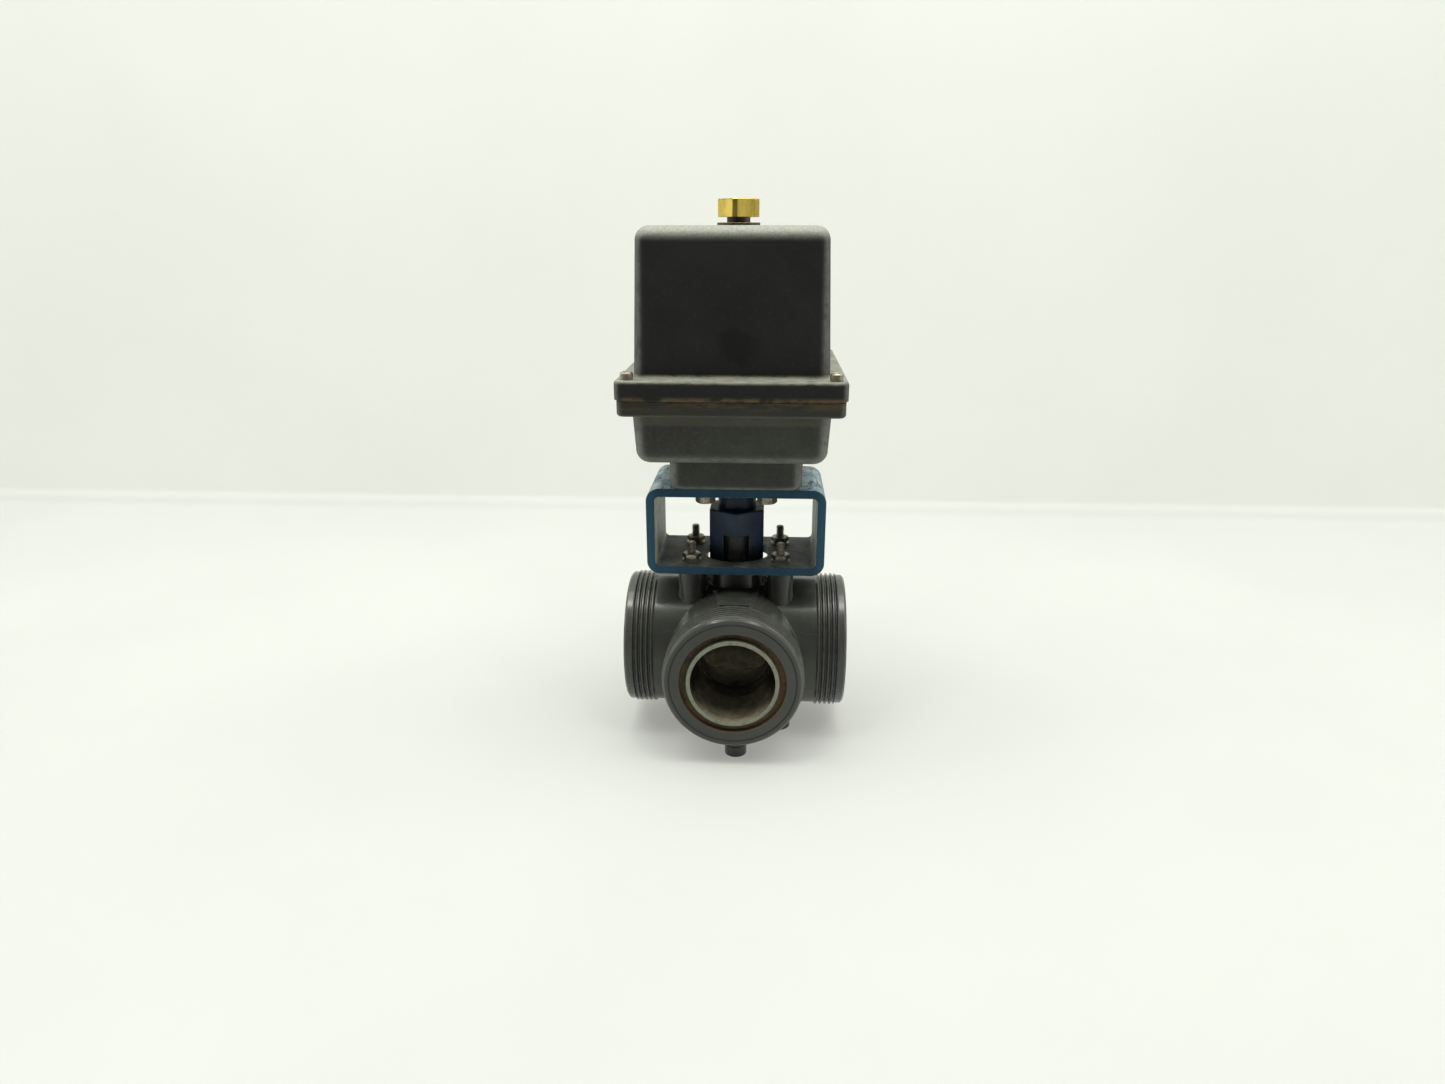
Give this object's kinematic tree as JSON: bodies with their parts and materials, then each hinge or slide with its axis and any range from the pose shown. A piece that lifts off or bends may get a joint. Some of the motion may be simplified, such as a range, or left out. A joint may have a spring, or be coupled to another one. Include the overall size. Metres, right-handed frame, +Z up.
{
  "type": "motorized valve actuator",
  "caption": "Electric quarter-turn actuator on a steel bracket, driving a three-way plastic ball valve with union threads.",
  "frame": {"origin": "centre of the base bolt pattern on the plane of the feet, on the valve stem's axis", "axes": "+Z up along the stem and drive axis; -Y towards the front port; +X towards the right port"},
  "size_m": [0.13, 0.155, 0.3074],
  "materials": {
    "grey_pvc": "satin moulded, dark grey",
    "ptfe": "satin white",
    "black_rubber": "matte",
    "gasket_rubber": "matte, rust stained",
    "blue_paint": "worn semi-gloss paint",
    "blue_coupling": "semi-gloss paint",
    "cover_paint": "worn satin paint on casting",
    "cast_housing": "worn satin paint on casting, rust tinted",
    "zinc_steel": "dull plated",
    "rusty_steel": "dull, lightly rusted",
    "dark_steel": "oxidised",
    "gear_steel": "machined, oiled",
    "bronze": "machined",
    "brass": "machined, slightly tarnished",
    "black_plastic": "moulded",
    "red_plastic": "moulded"
  },
  "bodies": {
    "frame": {"actuator_cover": "cover_paint", "ball_seat_front": "ptfe", "ball_seat_left": "ptfe", "ball_seat_rear": "ptfe", "ball_seat_right": "ptfe", "base_housing": "cast_housing", "capacitor_clip": "zinc_steel", "carrier_o_rings": "black_rubber", "conduit_plug": "dark_steel", "cover_bush": "bronze", "cover_gasket": "gasket_rubber", "cover_screws": "rusty_steel", "end_carrier_front": "grey_pvc", "end_carrier_left": "grey_pvc", "end_carrier_right": "grey_pvc", "first_gear_pin": "gear_steel", "gear_plate": "zinc_steel", "gear_plate_screws": "zinc_steel", "gland_ring": "grey_pvc", "limit_switch_closed": "black_plastic", "limit_switch_open": "black_plastic", "lower_flat_washers": "zinc_steel", "lower_lock_washers": "zinc_steel", "lower_nuts": "zinc_steel", "lower_studs": "zinc_steel", "middle_gear_pin": "gear_steel", "motor_can": "zinc_steel", "mounting_bracket": "blue_paint", "run_capacitor": "black_plastic", "shaft_bush": "bronze", "shaft_washer": "dark_steel", "switch_bracket": "zinc_steel", "terminal_screws": "brass", "terminal_strip": "black_plastic", "upper_bolts": "zinc_steel", "upper_lock_washers": "zinc_steel", "valve_body": "grey_pvc"},
    "drive_train": {"output_shaft": "dark_steel", "output_gear": "gear_steel", "output_key": "dark_steel", "override_block": "brass", "override_pin": "dark_steel", "drive_coupling": "blue_coupling", "valve_stem": "grey_pvc", "stem_o_rings": "black_rubber", "ball": "grey_pvc", "cam_closed": "black_plastic", "cam_open": "black_plastic"},
    "middle_gear": {"middle_gear": "gear_steel"},
    "first_gear": {"first_gear": "gear_steel"},
    "motor_rotor": {"motor_rotor": "gear_steel"},
    "button_closed": {"switch_button_closed": "red_plastic"},
    "button_open": {"switch_button_open": "red_plastic"}
  },
  "joints": [
    {"name": "drive_turn", "type": "hinge", "parent": "frame", "child": "drive_train", "pos_m": [0, 0, 0.0515], "axis": [0, 0, 1], "range_deg": [0, 90]},
    {"name": "middle_gear_turn", "type": "hinge", "parent": "frame", "child": "middle_gear", "pos_m": [0.01529, 0.04232, 0.19], "axis": [0, 0, 1], "range_deg": [-360, 0]},
    {"name": "first_gear_turn", "type": "hinge", "parent": "frame", "child": "first_gear", "pos_m": [-0.0092, 0.0336, 0.195], "axis": [0, 0, 1], "range_deg": [0, 1200]},
    {"name": "motor_turn", "type": "hinge", "parent": "frame", "child": "motor_rotor", "pos_m": [0.01, 0.048, 0.22], "axis": [0, 0, 1], "range_deg": [-4800, 0]},
    {"name": "button_closed_press", "type": "slide", "parent": "frame", "child": "button_closed", "axis": [-1, 0, 0], "range_m": [0, 0.001], "stiffness_N_per_m": 300},
    {"name": "button_open_press", "type": "slide", "parent": "frame", "child": "button_open", "axis": [-1, 0, 0], "range_m": [0, 0.001], "stiffness_N_per_m": 300}
  ],
  "couplings": [
    {"joint": "middle_gear_turn", "follows": "drive_turn", "ratio": -4},
    {"joint": "first_gear_turn", "follows": "drive_turn", "ratio": 13.333},
    {"joint": "motor_turn", "follows": "drive_turn", "ratio": -53.333}
  ]
}
